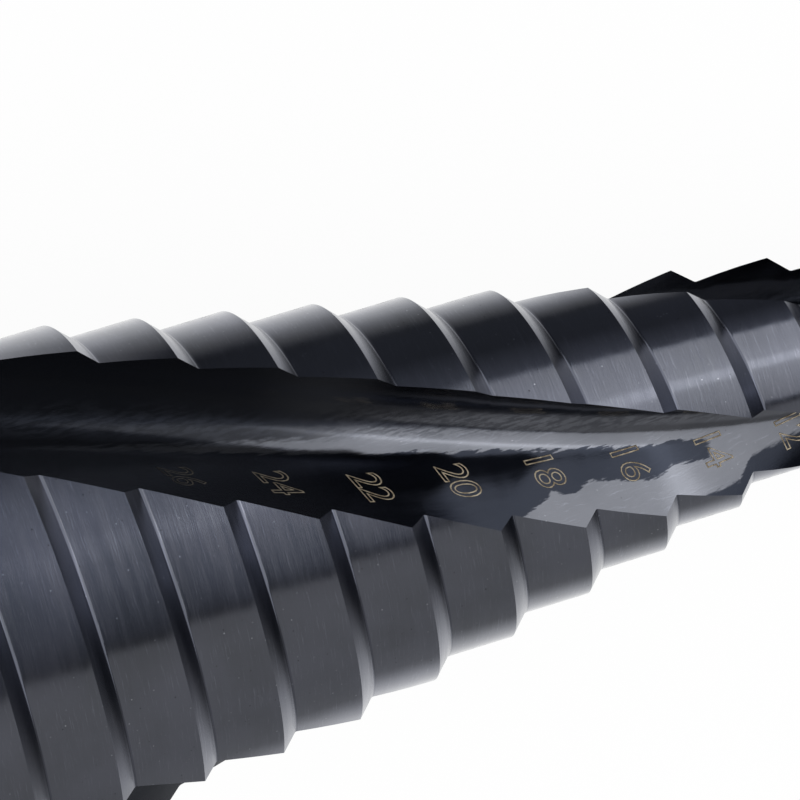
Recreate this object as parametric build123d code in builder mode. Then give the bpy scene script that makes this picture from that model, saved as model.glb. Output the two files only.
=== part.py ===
from build123d import *
import math
import os

# A 15-step drill for sheet metal, with three spiral flutes, ground from one bar of high speed steel.
# Lengths are in millimetres and angles in degrees.

# Steps, counted from the widest one, next to the shank, to the pilot at the tip.
widest_step = 32.0
pilot_step = 4.0
step_growth = 2.0
step_length = 5.0
shoulder_angle = 45.0
point_angle = 118.0
rear_chamfer = 1.2

# Flutes: the helix angle is the same all the way, so the edges are spirals that tighten to the tip.
flute_count = 3
helix_angle = 21.2
flute_opening_at_base = 42.5
flute_opening_at_tip = 58.0
rake_angle = 16.0
floor_tilt = 7.0
trough_radius_share = 0.25
flute_turn_per_section = 10.0
section_run_out = 0.4

# Relief: behind its cutting edge, each land falls away a little, inwards and towards the shank.
radial_relief = 0.23
axial_relief = 0.77
root_fillet = 0.25

# Shank, round, with three flats for the chuck's jaws that stop short of the neck.
shank_diameter = 10.0
shank_length = 25.0
shank_chamfer = 0.8
neck_fillet = 1.0
flat_count = 3
flat_depth = 0.4
flat_length = 11.0

# The side that the drill lies on, as an angle ahead of the widest step's cutting edge, and how closely
# its pitch is found.
lying_side = 48.5
points_per_edge = 25
pitch_tolerance = 1e-6

# Values that follow from the sizes above.
step_count = round((widest_step - pilot_step) / step_growth) + 1
flute_pitch = 360.0 / flute_count
cone_slope = step_growth / 2 / step_length
spiral_constant = math.degrees(math.tan(math.radians(helix_angle)) / cone_slope)
shoulder_slope = math.tan(math.radians(shoulder_angle))
steps_end = step_count * step_length
point_length = pilot_step / 2 / math.tan(math.radians(point_angle / 2))
overlap = 0.4 * step_length
margin = 0.1 * step_length


def cone_diameter(z):
    """Diameter at height z of the cone that touches the front corners of all the steps."""
    return widest_step - step_growth * (z / step_length - 1)


def height_on_cone(diameter):
    """Height at which that cone has a given diameter."""
    return step_length * (1 + (widest_step - diameter) / step_growth)


def edge_angle(z):
    """Angle of the first cutting edge at height z."""
    return spiral_constant * math.log(widest_step / cone_diameter(z))


def flute_opening(z):
    """Angle between a cutting edge and the heel of the land ahead of it, at height z."""
    share = (z - step_length) / (steps_end - step_length)
    return flute_opening_at_base + share * (flute_opening_at_tip - flute_opening_at_base)


def on_circle(radius, angle):
    """Point at a radius and an angle."""
    return (radius * math.cos(math.radians(angle)), radius * math.sin(math.radians(angle)))


def eccentric(diameter, drop, angle, land_angle):
    """Radius and centre of a circle that passes an edge and falls by the drop over the land behind it."""
    lead = 90 - land_angle / 2
    offset = drop / (2 * math.sin(math.radians(land_angle / 2)))
    radius = diameter / 2 - offset * math.cos(math.radians(lead))
    return radius, on_circle(offset, angle + lead)


def land_block(index):
    """One land of one step, with the third of the core behind it and its sloping shoulder in front."""
    diameter = widest_step - index * step_growth
    rear = index * step_length
    front = rear + step_length
    middle = (rear + front) / 2
    bottom = rear - overlap if index else 0.0
    top = front + max(step_growth / 2 / shoulder_slope, point_length) + margin
    land_angle = flute_pitch - flute_opening(front)
    # The block meets its neighbours in the middle of the flutes, where the grinding removes the joints.
    seam = edge_angle(middle) + flute_opening(middle) / 2
    away = seam + flute_pitch
    radius, centre = eccentric(diameter, radial_relief, edge_angle(front), land_angle)
    with BuildPart() as block:
        with BuildSketch(Plane.XY.offset(bottom)):
            with Locations(Location(centre, away)):
                Circle(radius)
            with BuildLine():
                Polyline(
                    (0, 0),
                    on_circle(diameter, seam - flute_pitch),
                    on_circle(diameter, seam - flute_pitch / 2),
                    on_circle(diameter, seam),
                    close=True,
                )
            make_face(mode=Mode.INTERSECT)
        extrude(amount=top - bottom)
        if index == 0:
            with Locations(Location((*centre, 0), (0, 0, away))):
                Cone(
                    radius - rear_chamfer,
                    radius - rear_chamfer + top,
                    top,
                    align=(Align.CENTER, Align.CENTER, Align.MIN),
                    mode=Mode.INTERSECT,
                )
        if diameter > pilot_step:
            drop = radial_relief + axial_relief * shoulder_slope
            radius, centre = eccentric(diameter, drop, edge_angle(front), land_angle)
            with Locations(Location((*centre, bottom), (0, 0, away))):
                Cone(
                    radius + shoulder_slope * (front - bottom),
                    radius - shoulder_slope * (top - front),
                    top - bottom,
                    align=(Align.CENTER, Align.CENTER, Align.MIN),
                    mode=Mode.INTERSECT,
                )
    return block.part


def flute_section(z):
    """Grinding wheel section that cuts the first flute at height z: rake face, trough and floor."""
    radius = cone_diameter(z) / 2
    heel = Vector(*on_circle(radius, flute_opening(z)))
    rake = Vector(*on_circle(1, 180 + rake_angle))
    floor = Vector(*on_circle(1, 90 - floor_tilt))
    edge = Vector(radius, 0)
    # The rake face and the floor meet where edge + s * rake = heel - t * floor.
    gap = heel - edge
    depth = (gap.X * floor.Y - gap.Y * floor.X) / (rake.X * floor.Y - rake.Y * floor.X)
    corner = edge + rake * depth
    with BuildSketch(Plane.XY.offset(z).rotated((0, 0, edge_angle(z)))) as section:
        with BuildLine():
            run = FilletPolyline(
                edge - rake * (section_run_out * radius),
                corner,
                heel + floor * (section_run_out * radius),
                radius=trough_radius_share * radius,
            )
            Line(run @ 1, run @ 0)
        make_face()
    return section.sketch


def flute_heights():
    """Heights of the flute's sections, closer together where the spiral tightens."""
    first = cone_diameter(-overlap)
    last = cone_diameter(steps_end + point_length + margin)
    turn = spiral_constant * math.log(first / last)
    count = math.ceil(turn / flute_turn_per_section)
    return [height_on_cone(first * (last / first) ** (i / count)) for i in range(count + 1)]


def front_and_root(shoulder):
    """The two long edges of a shoulder: the sharp one in front of a land, and the one at its root."""
    return shoulder.edges().sort_by(SortBy.LENGTH)[-2:]


with BuildPart() as flute:
    for z in flute_heights():
        add(flute_section(z))
    loft()

with BuildPart() as drill:
    for index in range(step_count):
        with PolarLocations(0, flute_count):
            add(land_block(index))
    # The point is a blunt cone over the pilot.
    with BuildSketch(Plane.XZ):
        with BuildLine():
            Polyline(
                (0, steps_end + point_length),
                (pilot_step, steps_end - point_length),
                (pilot_step, steps_end + 2 * point_length),
                (0, steps_end + 2 * point_length),
                close=True,
            )
        make_face()
    revolve(axis=Axis.Z, mode=Mode.SUBTRACT)
    with PolarLocations(0, flute_count):
        add(flute.part, mode=Mode.SUBTRACT)
    # Each shoulder runs into the smaller step ahead of it in a small fillet.
    cones = drill.faces().filter_by(GeomType.CONE)
    shoulders = [cone for cone in cones if rear_chamfer < cone.center().Z < steps_end]
    fillet([front_and_root(shoulder).sort_by(Axis.Z)[-1] for shoulder in shoulders], root_fillet)
    # The shank, with a chamfered end and a rounded neck against the widest step.
    with BuildSketch(Plane.XZ):
        with BuildLine():
            end = Polyline(
                (0, overlap),
                (0, -shank_length),
                (shank_diameter / 2 - shank_chamfer, -shank_length),
                (shank_diameter / 2, shank_chamfer - shank_length),
                (shank_diameter / 2, -neck_fillet),
            )
            neck = TangentArc(end @ 1, (shank_diameter / 2 + neck_fillet, 0), tangent=(0, 1))
            Polyline(neck @ 1, (shank_diameter / 2 + neck_fillet, overlap), end @ 0)
        make_face()
    revolve(axis=Axis.Z)
    with BuildSketch(Plane.XY.offset(-shank_length)):
        with PolarLocations(shank_diameter / 2, flat_count):
            Rectangle(2 * flat_depth, shank_diameter)
    extrude(amount=flat_length, mode=Mode.SUBTRACT)


def ground(pitch):
    """Unit vector towards the ground, in the drill's own frame, with the tip lowered by an angle."""
    return Vector(*on_circle(math.cos(math.radians(pitch)), lying_side), math.sin(math.radians(pitch)))


def height_above_ground(pitch):
    """Height of the drill's centre of mass when it touches the ground at that angle."""
    return max((point - centre).dot(ground(pitch)) for point in outline)


# The drill lies on one side with its tip lowered until both ends are carried. That is the lowest place
# of its centre of mass, found by halving the range of angles around it.
centre = drill.part.center(CenterOf.MASS)
shares = [i / (points_per_edge - 1) for i in range(points_per_edge)]
outline = [edge @ share for edge in drill.edges() for share in shares]
low, high = 0.0, 2 * math.degrees(math.atan(cone_slope))
while high - low > pitch_tolerance:
    third = (high - low) / 3
    if height_above_ground(low + third) < height_above_ground(high - third):
        high -= third
    else:
        low += third
up = -ground(low)
ahead = Vector(0, 0, 1) - up * up.Z
lying = Plane(origin=centre, x_dir=ahead, z_dir=up).to_local_coords(drill.part)
box = lying.bounding_box()

with BuildPart() as step_drill:
    add(Pos(-box.center().X, -box.center().Y, -box.min.Z) * lying)

step_drill.part.label = "step_drill"
os.makedirs("parts", exist_ok=True)
export_step(step_drill.part, "parts/step_drill.step")
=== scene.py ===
import math

import bpy
from mathutils import Matrix, Vector


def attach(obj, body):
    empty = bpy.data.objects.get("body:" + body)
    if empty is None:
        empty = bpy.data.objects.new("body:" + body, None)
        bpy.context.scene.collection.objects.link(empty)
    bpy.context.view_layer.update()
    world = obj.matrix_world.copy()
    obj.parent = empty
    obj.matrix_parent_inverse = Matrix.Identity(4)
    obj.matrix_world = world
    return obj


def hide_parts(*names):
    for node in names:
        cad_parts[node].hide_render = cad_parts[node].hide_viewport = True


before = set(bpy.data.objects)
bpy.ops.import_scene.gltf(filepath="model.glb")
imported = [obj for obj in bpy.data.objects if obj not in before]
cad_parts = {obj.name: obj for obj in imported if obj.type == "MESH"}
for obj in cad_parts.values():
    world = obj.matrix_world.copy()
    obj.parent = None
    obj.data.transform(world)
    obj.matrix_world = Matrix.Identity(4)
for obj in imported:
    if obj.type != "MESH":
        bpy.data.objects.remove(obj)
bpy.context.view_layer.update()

# ---- Camera ----
# A long lens, above the drill and to its side, turned so that the tip points to the right.
# The three directions are the camera's own axes, and the studio's light is laid out along them too.
camera_place = Vector((-0.0192112, 0.2832941, 0.4133329))
camera_back = Vector((-0.05307986, 0.5665673, 0.82230402))
camera_up = Vector((0.18538231, 0.81474157, -0.54939023))
camera_right = camera_up.cross(camera_back)

camera_data = bpy.data.cameras.new("camera")
camera_data.sensor_width = 36
camera_data.lens = 402.264
camera_data.clip_start = 0.05
camera_data.clip_end = 10
camera = bpy.data.objects.new("camera", camera_data)
bpy.context.scene.collection.objects.link(camera)
turned = Matrix((camera_right, camera_up, camera_back)).transposed()
camera.matrix_world = Matrix.Translation(camera_place) @ turned.to_4x4()
bpy.context.scene.camera = camera

# ---- Drill ----
# One bar of high speed steel, ground to 15 steps of three relieved lands with three spiral flutes between
# them and a shank with three flats, then coated. Its mesh follows the ground surfaces row by row, so that
# long reflections stay clean.
MM = 0.001
rear_face = Vector((-0.024765643, 0.000321042, 0.016305622))
along = Vector((0.982608, 0, -0.185694)).normalized()
first_edge = Vector((-0.123045, -0.748956, -0.651095))
first_edge = (first_edge - along * first_edge.dot(along)).normalized()
row_frame = Matrix((first_edge, along.cross(first_edge), along)).transposed()

# Lengths in millimetres and angles in degrees. Heights are counted from the rear face of the widest step.
widest_step = 32.0
pilot_step = 4.0
step_growth = 2.0
step_length = 5.0
step_count = 15
point_angle = 118.0
rear_chamfer = 1.2
radial_relief = 0.23
shoulder_relief = 1.0
root_fillet = 0.25
flute_count = 3
helix_angle = 21.2
flute_opening_at_base = 42.5
flute_opening_at_tip = 58.0
rake_angle = 16.0
floor_angle = 83.0
trough_radius_share = 0.25

last_step = step_count - 1
steps_end = step_count * step_length
third_turn = 360 / flute_count
cone_slope = step_growth / 2 / step_length
spiral_constant = math.degrees(math.tan(math.radians(helix_angle)) / cone_slope)
point_slope = math.tan(math.radians(point_angle / 2))
tip = steps_end + pilot_step / 2 / point_slope
fillet_run = root_fillet * math.tan(math.radians(22.5))
fillet_rise = root_fillet * (1 - math.cos(math.radians(45)))

# The crossings of the ground surfaces are found by halving and by repeated tries.
halvings = 26
tries = 8
search_run_out = 0.3


def on_circle(radius, angle):
    return Vector((radius * math.cos(math.radians(angle)), radius * math.sin(math.radians(angle))))


def cone_radius(z):
    """Radius at a height of the cone that touches the front edges of all the steps."""
    return (widest_step - step_growth * (z / step_length - 1)) / 2


def edge_angle(z):
    """Angle of the first cutting edge at a height."""
    return spiral_constant * math.log(widest_step / 2 / cone_radius(z))


def flute_opening(z):
    """Angle between a cutting edge and the heel of the land ahead of it, at a height."""
    share = (z - step_length) / (steps_end - step_length)
    return flute_opening_at_base + share * (flute_opening_at_tip - flute_opening_at_base)


def eccentric(index, drop):
    """Radius and centre of the circle that a land, or the front of its shoulder, is ground to."""
    front = (index + 1) * step_length
    half_land = math.radians((third_turn - flute_opening(front)) / 2)
    offset = drop / (2 * math.sin(half_land))
    lead = 90 - math.degrees(half_land)
    radius = cone_radius(front) - offset * math.cos(math.radians(lead))
    return radius, on_circle(offset, edge_angle(front) + lead)


lands = [eccentric(index, radial_relief) for index in range(step_count)]
shoulders = [eccentric(index, shoulder_relief) for index in range(step_count)]


def reach(index, angle, more=0.0):
    """Distance from the axis to a land in a direction, with its circle grown by some more."""
    radius, centre = lands[index]
    direction = on_circle(1, angle)
    across = centre.x * direction.y - centre.y * direction.x
    return centre.dot(direction) + math.sqrt((radius + more) ** 2 - across**2)


def shoulder_height(index, radius, angle):
    """Height at which a shoulder has come down to a radius."""
    shoulder_radius, centre = shoulders[index]
    return (index + 1) * step_length + shoulder_radius - (on_circle(radius, angle) - centre).length


def ground_point(row, angle):
    """Radius and height of a row of points across a land, at an angle."""
    kind, index, share = row
    if kind == "chamfer":
        return reach(0, angle, (share - 1) * rear_chamfer), share * rear_chamfer
    radius = reach(index, angle)
    front = tip - radius / point_slope
    if index < last_step:
        front = shoulder_height(index, radius, angle)
    if kind == "land":
        rear = rear_chamfer
        if index > 0:
            rear = shoulder_height(index - 1, radius, angle) + fillet_run
        return radius, rear + share * (front - rear)
    next_radius = reach(index + 1, angle)
    root = shoulder_height(index, next_radius, angle)
    if kind == "shoulder":
        fall = next_radius + fillet_rise - radius
        return radius + share * fall, front + share * (root - fillet_rise - front)
    bend = math.radians(45 * (1 - share))
    radius = next_radius + root_fillet * (1 - math.cos(bend))
    return radius, root + fillet_run - root_fillet * math.sin(bend)


class Flute:
    """The flute's section at a height: flat rake face, trough and flat floor.

    Its lengths are shares of the cone's radius. Places along it are counted from the end of the rake face.
    """

    def __init__(self, z):
        self.rake = on_circle(1, 180 + rake_angle)
        self.floor = on_circle(1, floor_angle)
        gap = on_circle(1, flute_opening(z)) - Vector((1, 0))
        cross = self.rake.x * self.floor.y - self.rake.y * self.floor.x
        depth = (gap.x * self.floor.y - gap.y * self.floor.x) / cross
        run = (gap.y * self.rake.x - gap.x * self.rake.y) / cross
        half_corner = math.radians((floor_angle - rake_angle) / 2)
        tangent = trough_radius_share / math.tan(half_corner)
        corner = Vector((1, 0)) + self.rake * depth
        to_centre = trough_radius_share / math.sin(half_corner)
        self.rake_end = corner - self.rake * tangent
        self.floor_start = corner + self.floor * tangent
        self.centre = corner + on_circle(to_centre, (floor_angle + rake_angle) / 2)
        self.bend = trough_radius_share * math.radians(180 - floor_angle + rake_angle)
        self.first = tangent - depth
        self.last = self.bend + run - tangent
        self.turn = edge_angle(z)
        self.cone = cone_radius(z)
        self.z = z

    def local(self, s):
        if s < 0:
            return self.rake_end + self.rake * s
        if s > self.bend:
            return self.floor_start + self.floor * (s - self.bend)
        bent = math.degrees(s / trough_radius_share)
        return self.centre + on_circle(trough_radius_share, rake_angle - 90 - bent)

    def crossing(self, radius, outer):
        """Place along the section where it comes out to a radius."""
        inner = self.bend / 2
        for _ in range(halvings):
            middle = (inner + outer) / 2
            if self.local(middle).length * self.cone < radius:
                inner = middle
            else:
                outer = middle
        return middle

    def edge_at(self, radius):
        """Place along the section of the cutting edge, where the land has a radius."""
        return self.crossing(radius, self.first - search_run_out)

    def heel_at(self, radius):
        """Place along the section of the heel, where the land ahead has a radius."""
        return self.crossing(radius, self.last + search_run_out)

    def point(self, s):
        local = self.local(s) * self.cone
        return (Matrix.Rotation(math.radians(self.turn), 2) @ local).to_3d() + Vector((0, 0, self.z))

    def angle(self, s):
        local = self.local(s)
        return self.turn + math.degrees(math.atan2(local.y, local.x))


def edge_crossing(row):
    """Angle, height and place along the flute's section where a row comes to the cutting edge."""
    angle = edge_angle((row[1] + row[2]) * step_length)
    for _ in range(tries):
        radius, z = ground_point(row, angle)
        flute = Flute(z)
        s = flute.edge_at(radius)
        angle = flute.angle(s)
    return angle, z, s


def heel_crossing(row):
    """The same where the row starts on the land ahead, a third of a turn on, at its heel."""
    angle = edge_angle((row[1] + row[2]) * step_length) + flute_opening(row[1] * step_length)
    for _ in range(tries):
        radius, z = ground_point(row, angle - third_turn)
        flute = Flute(z)
        s = flute.heel_at(radius)
        angle = flute.angle(s)
    return angle, z, s


land_columns = 24
flute_columns = 40
columns = land_columns + flute_columns
rows = [("chamfer", 0, share) for share in (0, 0.5)]
for index in range(step_count):
    rows += [("land", index, share) for share in (0, 0.02, 0.3, 0.6, 0.9)]
    if index < last_step:
        rows += [("shoulder", index, share) for share in (0, 0.45, 0.9)]
        rows += [("fillet", index, share) for share in (0, 0.25, 0.5, 0.75)]
rows.append(("land", last_step, 1))
pilot_start = []


def point_crossing(share, s, start):
    """Height, at a share of the way from a start, to where the blunt point cuts the flute."""
    top = start
    for _ in range(tries + 2):
        top = tip - Flute(top).point(s).xy.length / point_slope
    return start + share * (top - start)


def third(row):
    """One row of points over a land and the flute ahead of it, and their distances along those faces."""
    edge, edge_z, edge_s = edge_crossing(row)
    heel, heel_z, heel_s = heel_crossing(row)
    points, land_widths, flute_widths = [], [], []
    for column in range(land_columns + 1):
        angle = heel - third_turn + column / land_columns * (edge - heel + third_turn)
        radius, z = ground_point(row, angle)
        points.append(on_circle(radius, angle).to_3d() + Vector((0, 0, z)))
        land_widths.append(radius * math.radians(angle))
    for column in range(flute_columns + 1):
        share = column / flute_columns
        s = edge_s + share * (heel_s - edge_s)
        z = edge_z + share * (heel_z - edge_z)
        if row[:2] == ("land", last_step):
            if row[2] == 0:
                pilot_start.append(z)
            z = point_crossing(row[2], s, pilot_start[column])
        flute = Flute(z)
        flute_widths.append(s * flute.cone)
        if 0 < column < flute_columns:
            points.append(flute.point(s))
    return points, land_widths, flute_widths


thirds = [third(row) for row in rows]

# Round the shank, the columns are spaced so that the edges of its three flats fall on them.
shank_radius = 5.0
shank_end = -25.0
shank_chamfer = 0.8
neck_fillet = 1.0
neck_rows = 8
flat_height = shank_radius - 0.4
flat_end = -14.0
flat_half = math.degrees(math.acos(flat_height / shank_radius))
flat_first, flat_last = 33, 57
round_step = (third_turn - 2 * flat_half) / (columns - flat_last + flat_first)
flat_step = 2 * flat_half / (flat_last - flat_first)


def shank_angle(column):
    if column < flat_first:
        return -flat_half - (flat_first - column) * round_step
    if column > flat_last:
        return flat_half + (column - flat_last) * round_step
    return -flat_half + (column - flat_first) * flat_step


def shank_row(radius, height):
    return [on_circle(radius, shank_angle(c)).to_3d() + Vector((0, 0, height)) for c in range(columns)]


def flatted_row(height=None):
    """A row round the flats, at a height or down at the chamfer."""
    points = []
    for column in range(columns):
        radius = shank_radius
        if flat_first <= column <= flat_last:
            radius = flat_height / math.cos(math.radians(shank_angle(column)))
        z = shank_end + radius - shank_radius + shank_chamfer if height is None else height
        points.append(on_circle(radius, shank_angle(column)).to_3d() + Vector((0, 0, z)))
    return points


shank_rows = [shank_row(share * (shank_radius - shank_chamfer), shank_end) for share in (0.5, 1)]
shank_rows += [flatted_row(), flatted_row((shank_end + flat_end) / 2), flatted_row(flat_end)]
shank_rows += [shank_row(shank_radius, z) for z in (flat_end, flat_end / 2, -neck_fillet)]
for turn in range(neck_rows, -1, -1):
    bend = math.radians(90 * turn / neck_rows)
    neck = shank_radius + neck_fillet * (1 - math.sin(bend))
    shank_rows.append(shank_row(neck, neck_fillet * (math.cos(bend) - 1)))
point_rows = [[Vector((0, 0, tip)).lerp(p, share) for p in thirds[-1][0]] for share in (0.7, 0.35)]
all_rows = shank_rows + [points for points, *_ in thirds] + point_rows

vertices = []
for points in all_rows:
    for turn in range(flute_count):
        spin = Matrix.Rotation(math.radians(third_turn * turn), 3, "Z")
        vertices += [rear_face + row_frame @ (spin @ point) * MM for point in points]
ring = flute_count * columns
vertices += [rear_face + along * shank_end * MM, rear_face + along * tip * MM]

# Every face has its finish, its place in millimetres on a map of the ground face, and the share of the
# land's or flute's width and of the drill's height at which it lies.
on_land, on_shoulder, on_flute, on_shank = range(4)
faces, finishes, face_uvs, face_spans = [], [], [], []
for number in range(len(all_rows) - 1):
    body = number - len(shank_rows)
    on_body = 0 <= body < len(rows) - 1
    for column in range(ring):
        low, high = number * ring, (number + 1) * ring
        beside = (column + 1) % ring
        faces.append((low + column, low + beside, high + beside, high + column))
        place = column % columns
        heights = [(vertices[v] - rear_face).dot(along) / MM for v in faces[-1]]
        if not on_body:
            finishes.append(on_shank if body < 0 else on_land)
            turn = math.radians(360 / ring) * (shank_radius if body < 0 else pilot_step / 2)
            face_uvs.append(list(zip([turn * (column + more) for more in (0, 1, 1, 0)], heights)))
            shares = (0, 0, 0, 0)
        else:
            if place < land_columns:
                finishes.append(on_land if rows[body][0] == "land" else on_shoulder)
                kind, first, width = 1, place, land_columns
            else:
                finishes.append(on_flute)
                kind, first, width = 2, place - land_columns, flute_columns
            shares = [(first + more) / width for more in (0, 1, 1, 0)]
            below, above = thirds[body][kind], thirds[body + 1][kind]
            widths = (below[first], below[first + 1], above[first + 1], above[first])
            face_uvs.append(list(zip(widths, heights)))
        face_spans.append([(share, height / steps_end) for share, height in zip(shares, heights)])
for column in range(ring):
    beside = (column + 1) % ring
    top = (len(all_rows) - 1) * ring
    faces += [(beside, column, len(vertices) - 2), (top + column, top + beside, len(vertices) - 1)]
    finishes += [on_shank, on_land]
    face_uvs += [[(0, 0)] * 3] * 2
    face_spans += [[(0, 0)] * 3] * 2

shape = bpy.data.meshes.new("ground_drill")
shape.from_pydata([tuple(v) for v in vertices], [], faces)
shape.polygons.foreach_set("material_index", finishes)
for name, corner_uvs in (("ground", face_uvs), ("span", face_spans)):
    layer = shape.uv_layers.new(name=name)
    layer.data.foreach_set("uv", [value for corners in corner_uvs for uv in corners for value in uv])
drill = bpy.data.objects.new("ground_drill", shape)
bpy.context.scene.collection.objects.link(drill)
bpy.ops.object.select_all(action="DESELECT")
drill.select_set(True)
bpy.context.view_layer.objects.active = drill
bpy.ops.object.mode_set(mode="EDIT")
bpy.ops.mesh.select_all(action="SELECT")
bpy.ops.mesh.remove_doubles(threshold=1e-6)
bpy.ops.mesh.normals_make_consistent(inside=False)
bpy.ops.object.mode_set(mode="OBJECT")
bpy.ops.object.shade_smooth_by_angle(angle=math.radians(20))
# The grinding leaves the edges keen, but the coating rounds them by a few hundredths of a millimetre.
rounding = drill.modifiers.new("coated_edges", "BEVEL")
rounding.limit_method = "ANGLE"
rounding.angle_limit = math.radians(24)
rounding.width = 0.022 * MM
rounding.segments = 2
rounding.use_clamp_overlap = True
rounding.harden_normals = True
bpy.ops.object.modifier_apply(modifier="coated_edges")


def add_node(tree, kind, inputs=(), **settings):
    """A node with its settings, and with inputs given as values or as other nodes' outputs."""
    node = tree.nodes.new(kind)
    for name, value in settings.items():
        setattr(node, name, value)
    for socket, value in inputs:
        if isinstance(value, bpy.types.NodeSocket):
            tree.links.new(value, node.inputs[socket])
        else:
            node.inputs[socket].default_value = value
    return node


def value_of(tree, operation, *values):
    """Output of a math node."""
    return add_node(tree, "ShaderNodeMath", enumerate(values), operation=operation).outputs[0]


def product_of(tree, *values):
    """Output of the last of the math nodes that multiply some values."""
    product = values[0]
    for value in values[1:]:
        product = value_of(tree, "MULTIPLY", product, value)
    return product


def vector_of(tree, operation, vector, other):
    """Output of a vector math node, for a vector and another one or a scale."""
    inputs = ((0, vector), ("Scale" if operation == "SCALE" else 1, other))
    return add_node(tree, "ShaderNodeVectorMath", inputs, operation=operation).outputs[0]


def along_of(tree, place, direction):
    """Output of a vector math node that measures how far a place lies in a direction."""
    inputs = ((0, place), (1, direction))
    return add_node(tree, "ShaderNodeVectorMath", inputs, operation="DOT_PRODUCT").outputs["Value"]


def turned_by(tree, face_map, angle):
    """Output of a node that turns a map of a face."""
    inputs = ((0, face_map), ("Angle", angle))
    return add_node(tree, "ShaderNodeVectorRotate", inputs, rotation_type="Z_AXIS").outputs[0]


def noise_of(tree, place, scale, detail, roughness=0.5, dimensions="3D"):
    """Outputs of a noise texture."""
    inputs = ((0, place), ("Scale", scale), ("Detail", detail), ("Roughness", roughness))
    return add_node(tree, "ShaderNodeTexNoise", inputs, noise_dimensions=dimensions).outputs


def blend_of(tree, factor, low, high):
    """Output of a linear blend of two colours."""
    inputs = ((0, factor), (6, low), (7, high))
    return add_node(tree, "ShaderNodeMix", inputs, data_type="RGBA").outputs[2]


def step_of(tree, value, start, end):
    """Smooth rise of a value from 0 at the start to 1 at the end."""
    inputs = ((0, value), (1, start), (2, end))
    return add_node(tree, "ShaderNodeMapRange", inputs, interpolation_type="SMOOTHSTEP").outputs[0]


def new_group(name, inputs, outputs):
    """A shader node group, with its inner input and output nodes."""
    group = bpy.data.node_groups.new(name, "ShaderNodeTree")
    for socket, kind, default in inputs:
        made = group.interface.new_socket(socket, in_out="INPUT", socket_type="NodeSocket" + kind)
        made.default_value = default
    for socket, kind in outputs:
        group.interface.new_socket(socket, in_out="OUTPUT", socket_type="NodeSocket" + kind)
    return group, group.nodes.new("NodeGroupInput").outputs, group.nodes.new("NodeGroupOutput").inputs


# The wheel's marks run one way over each ground face. They are drawn in millimetres over the face.
marks, given, made = new_group(
    "wheel_marks",
    (("Turn", "Float", 0.0), ("Along", "Float", 0.3), ("Across", "Float", 9.0), ("Waver", "Float", 0.2)),
    (("Height", "Float"), ("Streaks", "Float")),
)
face_map = add_node(marks, "ShaderNodeUVMap", uv_map="ground").outputs[0]
face_map = turned_by(marks, face_map, given["Turn"])
drift = noise_of(marks, face_map, 0.8, 3, dimensions="2D")["Color"]
off_line = vector_of(marks, "SUBTRACT", drift, (0.5, 0.5, 0.5))
off_line = vector_of(marks, "SCALE", off_line, given["Waver"])
stretch = add_node(marks, "ShaderNodeCombineXYZ", ((0, given["Along"]), (1, given["Across"]))).outputs[0]
fine = vector_of(marks, "MULTIPLY", vector_of(marks, "ADD", face_map, off_line), stretch)
coarse = vector_of(marks, "SCALE", fine, 0.22)
marks.links.new(noise_of(marks, fine, 1.0, 6, 0.72, "2D")[0], made["Height"])
marks.links.new(noise_of(marks, coarse, 1.0, 4, 0.6, "2D")[0], made["Streaks"])

# The coating isn't quite even: it has clouds of tint, and small dark pits and bright specks.
coat, given, made = new_group(
    "coating",
    (("Steel", "Color", (0.2, 0.2, 0.2, 1)), ("Tint", "Color", (0.2, 0.2, 0.2, 1)), ("Specks", "Float", 0.5)),
    (("Color", "Color"), ("Roughness", "Float"), ("Pits", "Float")),
)
bright_speck = (0.6, 0.62, 0.68, 1)
dark_pit = (0.02, 0.02, 0.025, 1)
place = add_node(coat, "ShaderNodeTexCoord").outputs["Object"]
clouds = noise_of(coat, place, 160.0, 5, 0.55)[0]
colour = blend_of(coat, step_of(coat, clouds, 0.32, 0.68), given["Steel"], given["Tint"])
dust = add_node(coat, "ShaderNodeTexVoronoi", ((0, place), ("Scale", 5600.0))).outputs
chance = add_node(coat, "ShaderNodeSeparateColor", ((0, dust["Color"]),)).outputs
speck = product_of(
    coat,
    step_of(coat, dust["Distance"], 0.34, 0.14),
    step_of(coat, chance[0], 0.955, 0.965),
    given["Specks"],
)
colour = blend_of(coat, product_of(coat, speck, chance[1]), colour, bright_speck)
deep = product_of(coat, speck, value_of(coat, "SUBTRACT", 1.0, chance[1]))
colour = blend_of(coat, deep, colour, dark_pit)
grit = noise_of(coat, place, 5200.0, 3)[0]
coat.links.new(colour, made["Color"])
coat.links.new(step_of(coat, clouds, 0.2, 0.8), made["Roughness"])
coat.links.new(value_of(coat, "MULTIPLY_ADD", grit, 0.3, speck), made["Pits"])

scratched_steel = (0.42, 0.44, 0.52, 1)


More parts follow.
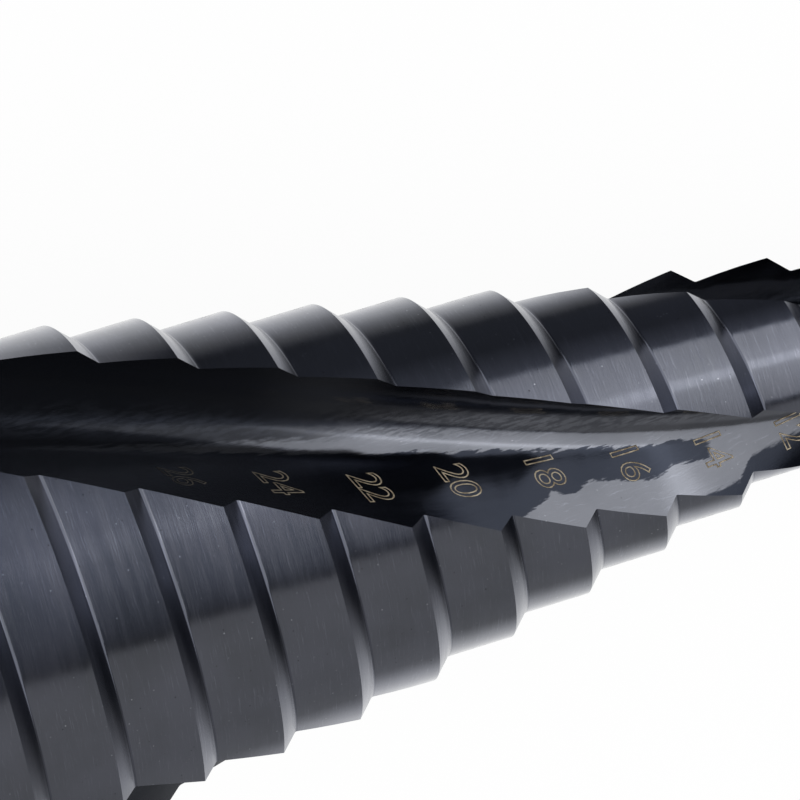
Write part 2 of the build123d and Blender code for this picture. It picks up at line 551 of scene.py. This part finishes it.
def ground_finish(name, steel, tint, turn, along, across, waver, rough, rough_more, height, specks):
    """A coated, ground steel. Its marks are as high as a given height, in millimetres."""
    finish = bpy.data.materials.new(name)
    finish.use_nodes = True
    tree = finish.node_tree
    shader = tree.nodes["Principled BSDF"]
    shader.inputs["Metallic"].default_value = 1
    inputs = (("Turn", math.radians(turn)), ("Along", along), ("Across", across), ("Waver", waver))
    wheel = add_node(tree, "ShaderNodeGroup", inputs, node_tree=marks).outputs
    inputs = (("Steel", steel), ("Tint", tint), ("Specks", specks))
    layer = add_node(tree, "ShaderNodeGroup", inputs, node_tree=coat).outputs
    streaks = step_of(tree, wheel["Streaks"], 0.3, 0.7)
    scratches = step_of(tree, wheel["Height"], 0.55, 0.78)
    colour = blend_of(tree, product_of(tree, streaks, 0.3), layer["Color"], tint)
    colour = blend_of(tree, product_of(tree, scratches, 0.38), colour, scratched_steel)
    tree.links.new(colour, shader.inputs["Base Color"])
    uneven = value_of(tree, "MULTIPLY_ADD", layer["Roughness"], 0.4, product_of(tree, streaks, 0.6))
    tree.links.new(value_of(tree, "MULTIPLY_ADD", uneven, rough_more, rough), shader.inputs["Roughness"])
    relief = value_of(tree, "MULTIPLY_ADD", layer["Pits"], 0.25, wheel["Height"])
    inputs = (("Strength", 1.0), ("Distance", height * MM), ("Height", relief))
    bump = add_node(tree, "ShaderNodeBump", inputs)
    tree.links.new(bump.outputs[0], shader.inputs["Normal"])
    drill.data.materials.append(finish)
    return tree, shader, colour


ground_finish(
    "land_finish", steel=(0.19, 0.2, 0.23, 1), tint=(0.225, 0.235, 0.28, 1), turn=0, along=0.5, across=9,
    waver=0.1, rough=0.07, rough_more=0.1, height=0.0013, specks=0.9,
)
ground_finish(
    "shoulder_finish", steel=(0.13, 0.14, 0.17, 1), tint=(0.17, 0.18, 0.225, 1), turn=0, along=0.2, across=9,
    waver=0.1, rough=0.12, rough_more=0.12, height=0.0016, specks=0.6,
)
tree, shader, colour = ground_finish(
    "flute_finish", steel=(0.205, 0.215, 0.245, 1), tint=(0.25, 0.26, 0.295, 1), turn=70, along=0.5, across=6,
    waver=0.5, rough=0.09, rough_more=0.1, height=0.0026, specks=0.5,
)

# What is painted in a flute, painted reflection and painted shade as well as the wheel's marks, lies by the
# share of its width, from the cutting edge to the heel, and by the height in millimetres. Its borders are
# ragged along the wheel's marks.
painted_dark_reflection = (0.022, 0.028, 0.045, 1)
painted_base_shade = (0.03, 0.034, 0.044, 1)
painted_rake_shade = (0.016, 0.018, 0.024, 1)
marks_and_shade_grey = (0.05, 0.055, 0.07, 1)
face_span = add_node(tree, "ShaderNodeUVMap", uv_map="span").outputs[0]
face_span = add_node(tree, "ShaderNodeSeparateXYZ", ((0, face_span),)).outputs
across_flute, up_flute = face_span[0], product_of(tree, face_span[1], steps_end)
face_map = add_node(tree, "ShaderNodeUVMap", uv_map="ground").outputs[0]
face_map = turned_by(tree, face_map, math.radians(-20))
face_map = add_node(tree, "ShaderNodeMapping", ((0, face_map), ("Scale", (4.5, 0.8, 1)))).outputs[0]
feather = noise_of(tree, face_map, 1.0, 5, 0.65, "2D")[0]
at_share = value_of(tree, "ADD", across_flute, value_of(tree, "MULTIPLY_ADD", feather, 0.1, -0.05))


def past(value, limit):
    """How far a value is past a limit, and 0 before it."""
    return value_of(tree, "MAXIMUM", value_of(tree, "SUBTRACT", value, limit), 0.0)


def share_line(height, share, slope):
    """Share on a straight line over the flute, which passes one share at one height."""
    return value_of(tree, "MULTIPLY_ADD", up_flute, slope, share - height * slope)


# A ragged dark patch, and a wedge at the heel ahead of it, are painted reflection: dark surroundings that
# the flute's floor mirrors there, painted into its colour.
rake_side = value_of(tree, "MULTIPLY_ADD", past(up_flute, 36.0), 0.006, 0.5)
heel_side = value_of(tree, "MULTIPLY_ADD", past(38.0, up_flute), 0.085, share_line(45.8, 0.76, -0.006))
patch = product_of(
    tree,
    step_of(tree, value_of(tree, "SUBTRACT", at_share, rake_side), 0.0, 0.012),
    step_of(tree, value_of(tree, "SUBTRACT", heel_side, at_share), 0.0, 0.016),
    step_of(tree, value_of(tree, "MULTIPLY_ADD", feather, 0.8, up_flute), 48.5, 48.1),
)
wedge = step_of(tree, value_of(tree, "SUBTRACT", at_share, share_line(47.6, 0.965, -0.0456)), -0.01, 0.02)
patch = value_of(tree, "MAXIMUM", patch, wedge)
colour = blend_of(tree, product_of(tree, patch, 0.88), colour, painted_dark_reflection)
# Towards the base the flute is painted nearly black, most of all on the rake side: painted shade that stands
# in for the dark surroundings that the steel mirrors there.
rake_shade_mask = step_of(tree, value_of(tree, "SUBTRACT", share_line(0.0, 0.565, -0.0053), at_share), -0.012, 0.03)
rake_shade_mask = product_of(tree, rake_shade_mask, step_of(tree, up_flute, 32.0, 23.0), 0.9)
base_shade_mask = product_of(tree, step_of(tree, up_flute, 31.0, 15.0), 0.86)
colour = blend_of(tree, base_shade_mask, colour, painted_base_shade)
colour = blend_of(tree, rake_shade_mask, colour, painted_rake_shade)
# Dark feathered strokes along the trough: partly the wheel's marks, partly painted shade where the bright
# reflection in the trough feathers out.
strokes_and_shade = product_of(
    tree,
    step_of(tree, across_flute, 0.2, 0.3),
    step_of(tree, at_share, 0.46, 0.38),
    step_of(tree, feather, 0.42, 0.6),
    0.5,
)
colour = blend_of(tree, strokes_and_shade, colour, marks_and_shade_grey)
tree.links.new(colour, shader.inputs["Base Color"])
# Where this shade is painted, the steel is made less metallic too.
most_shade_mask = value_of(tree, "MAXIMUM", rake_shade_mask, base_shade_mask)
tree.links.new(value_of(tree, "MULTIPLY_ADD", most_shade_mask, -0.28, 1.0), shader.inputs["Metallic"])

ground_finish(
    "shank_finish", steel=(0.24, 0.245, 0.27, 1), tint=(0.3, 0.305, 0.33, 1), turn=0, along=0.15, across=8,
    waver=0.1, rough=0.16, rough_more=0.12, height=0.0014, specks=0.8,
)
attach(drill, "root")
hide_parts("step_drill")

# ---- Size marks ----
# The diameters of the steps in millimetres, marked by laser on the floor of one flute in thin double lines.
# The laser burns the coating back to a pale gold. The numbers are darker towards the widest steps.
first_marked = 3
marked_flute = 1
mark_height = 3.0
mark_size = 2.45
mark_line = 0.04
mark_tilt = 15
stand_proud = 0.35
spin = Matrix.Rotation(math.radians(third_turn * marked_flute), 3, "Z")
size_marks = []
for index in range(first_marked, last_step):
    height = index * step_length + mark_height
    flute = Flute(height)
    share = min(0.7, max(0.6, 0.65 - (height - 33) * 0.01))
    first = flute.edge_at(flute.cone)
    last = flute.heel_at(flute.cone)
    middle = (first + share * (last - first)) * flute.cone
    bpy.ops.object.select_all(action="DESELECT")
    bpy.ops.object.text_add()
    mark = bpy.context.object
    mark.data.body = str(round(widest_step - index * step_growth))
    mark.data.align_x = "CENTER"
    mark.data.align_y = "CENTER"
    mark.data.size = mark_size * min(1.0, 0.55 + 0.09 * flute.cone)
    mark.data.space_character = 0.92
    mark.data.fill_mode = "NONE"
    mark.data.bevel_depth = mark_line
    mark.data.bevel_resolution = 0
    mark.data.resolution_u = 4
    bpy.ops.object.convert(target="MESH")
    mark = bpy.context.object
    for vertex in mark.data.vertices:
        across_mark, up_mark = Matrix.Rotation(math.radians(mark_tilt), 2) @ vertex.co.xy
        here = Flute(height + up_mark)
        s = (middle + across_mark) / here.cone
        ahead_of = here.point(s + 0.01)
        inward = (ahead_of - here.point(s)).cross(Vector((0, 0, 1))).normalized()
        place = here.point(s) + inward * (stand_proud * vertex.co.z)
        vertex.co = rear_face + row_frame @ (spin @ place) * MM
    size_marks.append(mark)
bpy.ops.object.select_all(action="DESELECT")
for mark in size_marks:
    mark.select_set(True)
bpy.context.view_layer.objects.active = size_marks[0]
bpy.ops.object.join()
marks_on = bpy.context.object
marks_on.name = "size_marks"

burnt_gold = (0.3, 0.235, 0.15, 1)
pale_gold = (0.62, 0.53, 0.39, 1)
darker_mark = (0.03, 0.028, 0.025, 1)
burnt = bpy.data.materials.new("laser_mark")
burnt.use_nodes = True
tree = burnt.node_tree
shader = tree.nodes["Principled BSDF"]
shader.inputs["Metallic"].default_value = 0.3
shader.inputs["Roughness"].default_value = 0.55
place = add_node(tree, "ShaderNodeTexCoord").outputs["Object"]
burn = noise_of(tree, place, 2500.0, 4)[0]
colour = blend_of(tree, step_of(tree, burn, 0.35, 0.65), burnt_gold, pale_gold)
# The marks' colour darkens towards the widest steps, from 34 mm down to 16 mm above the rear face.
start = rear_face.dot(along)
toward_base = step_of(tree, along_of(tree, place, along), start + 34 * MM, start + 16 * MM)
tree.links.new(blend_of(tree, toward_base, colour, darker_mark), shader.inputs["Base Color"])
marks_on.data.materials.append(burnt)
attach(marks_on, "root")

# ---- Floor and light ----
# A pale table in a white studio, with one large softbox beside the camera and dark walls round it.
# Only what the steel mirrors shows the softbox and the walls. Everything else is lit by plain white.
bpy.ops.object.select_all(action="DESELECT")
bpy.ops.mesh.primitive_plane_add(size=6)
floor = bpy.context.object
floor.name = "floor"
floor.visible_glossy = False
paint = bpy.data.materials.new("white_table")
paint.use_nodes = True
tree = paint.node_tree
shader = tree.nodes["Principled BSDF"]
shader.inputs["Base Color"].default_value = (0.97, 0.97, 0.97, 1)
shader.inputs["Roughness"].default_value = 0.6
glow = add_node(tree, "ShaderNodeEmission", (("Strength", 1.0),))
seen = add_node(tree, "ShaderNodeLightPath").outputs["Is Camera Ray"]
inputs = ((0, product_of(tree, seen, 0.96)), (1, shader.outputs[0]), (2, glow.outputs[0]))
blend = add_node(tree, "ShaderNodeMixShader", inputs)
tree.links.new(blend.outputs[0], tree.nodes["Material Output"].inputs[0])
floor.data.materials.append(paint)

world = bpy.data.worlds.new("studio")
bpy.context.scene.world = world
world.use_nodes = True
tree = world.node_tree

# Where a direction lies, in degrees to the right of the camera and above it, seen from the drill.
sky = add_node(tree, "ShaderNodeTexCoord").outputs["Generated"]
near, rise, side = [along_of(tree, sky, axis) for axis in (camera_back, camera_up, camera_right)]
near = value_of(tree, "MINIMUM", value_of(tree, "MAXIMUM", near, -1.0), 1.0)
away = value_of(tree, "DEGREES", value_of(tree, "ARCCOSINE", near))
span = value_of(tree, "ADD", product_of(tree, rise, rise), product_of(tree, side, side))
span = value_of(tree, "MAXIMUM", value_of(tree, "SQRT", span), 0.001)
per_span = value_of(tree, "DIVIDE", away, span)
right_by = product_of(tree, side, per_span)
up_by = product_of(tree, rise, per_span)


def profile(value, low, high, stops):
    """Light by angle, from pairs of an angle and a strength, over a range of angles."""
    share = value_of(tree, "DIVIDE", value_of(tree, "SUBTRACT", value, low), high - low)
    ramp = add_node(tree, "ShaderNodeValToRGB", ((0, share),))
    elements = ramp.color_ramp.elements
    for number, (angle, strength) in enumerate((stops[0], stops[-1], *stops[1:-1])):
        place = (angle - low) / (high - low)
        element = elements[number] if number < 2 else elements.new(place)
        element.position = place
        element.color = (strength, strength, strength, 1)
    return ramp.outputs[0]


# The walls, by height: pale below, black above the softbox.
walls = profile(
    up_by, -180, 180,
    ((-110, 0.28), (-90, 0.26), (-60, 0.28), (-40, 0.29), (-29, 0.26), (-26, 0.06), (-20, 0.08), (0, 0.19),
     (10, 0.26), (20, 0.31), (40, 0.34), (52, 0.24), (60, 0.13), (70, 0.08), (82, 0.03), (115, 0.04)),
)
slant = value_of(tree, "MULTIPLY_ADD", value_of(tree, "MAXIMUM", up_by, -20.0), 0.333, right_by)
doorway = product_of(tree, step_of(tree, right_by, 40.0, 52.0), step_of(tree, up_by, -62.0, -48.0))
walls = product_of(
    tree,
    walls,
    step_of(tree, slant, 16.0, 21.0),
    step_of(tree, right_by, 112.0, 76.0),
    value_of(tree, "MULTIPLY_ADD", doorway, -0.45, 1.0),
)
walls = value_of(tree, "ADD", walls, 0.032)

# The softbox, brightest in a band across it, and its five edges.
softbox = profile(
    up_by, -90, 90,
    ((-60, 0.55), (-20, 0.8), (0, 0.92), (14, 1.05), (17, 1.7), (23, 1.7), (26, 1.15), (34, 1.05), (42, 0.96),
     (60, 0.95)),
)
left_edge = step_of(tree, slant, 24.6, 26.2)
sill = profile(
    right_by, 0, 100,
    ((0, 0.28), (30, 0.389), (40, 0.378), (48, 0.355), (56, 0.33), (70, 0.31), (76, 0.44), (84, 0.49),
     (100, 0.5)),
)
lower_edge = step_of(tree, value_of(tree, "MULTIPLY_ADD", sill, -180.0, up_by), -92.0, -88.0)
lintel = value_of(tree, "MULTIPLY_ADD", value_of(tree, "MAXIMUM", right_by, 12.0), -1.1, up_by)
upper_edge = step_of(tree, lintel, 46.0, 42.0)
top_edge = step_of(tree, up_by, 88.0, 80.0)
right_edge = step_of(tree, right_by, 98.0, 66.0)
inside = product_of(tree, left_edge, lower_edge, upper_edge, top_edge, right_edge)
outside = value_of(tree, "SUBTRACT", 1.0, inside)

# Behind the drill the backdrop is white.
backdrop = profile(
    away, 0, 180, ((104, 0), (112, 0.08), (120, 0.22), (130, 0.45), (140, 0.75), (150, 0.92), (160, 1.0))
)
lit = value_of(tree, "ADD", product_of(tree, softbox, inside), product_of(tree, walls, outside))
studio = value_of(tree, "MAXIMUM", lit, backdrop)
rays = add_node(tree, "ShaderNodeLightPath").outputs
mirrored = value_of(tree, "MAXIMUM", rays["Is Glossy Ray"], rays["Is Transmission Ray"])
inputs = ((0, mirrored), (2, 1.0), (3, studio))
strength = add_node(tree, "ShaderNodeMix", inputs, data_type="FLOAT").outputs[0]
tree.links.new(strength, tree.nodes["Background"].inputs["Strength"])

# The upper walls are a little cooler than the rest.
cool = product_of(
    tree, mirrored, step_of(tree, up_by, -30.0, -20.0), outside, step_of(tree, backdrop, 0.2, 0.0)
)
tint = blend_of(tree, cool, (1, 1, 1, 1), (0.92, 0.98, 1.14, 1))
tree.links.new(tint, tree.nodes["Background"].inputs["Color"])
bpy.context.scene.view_settings.view_transform = "Standard"
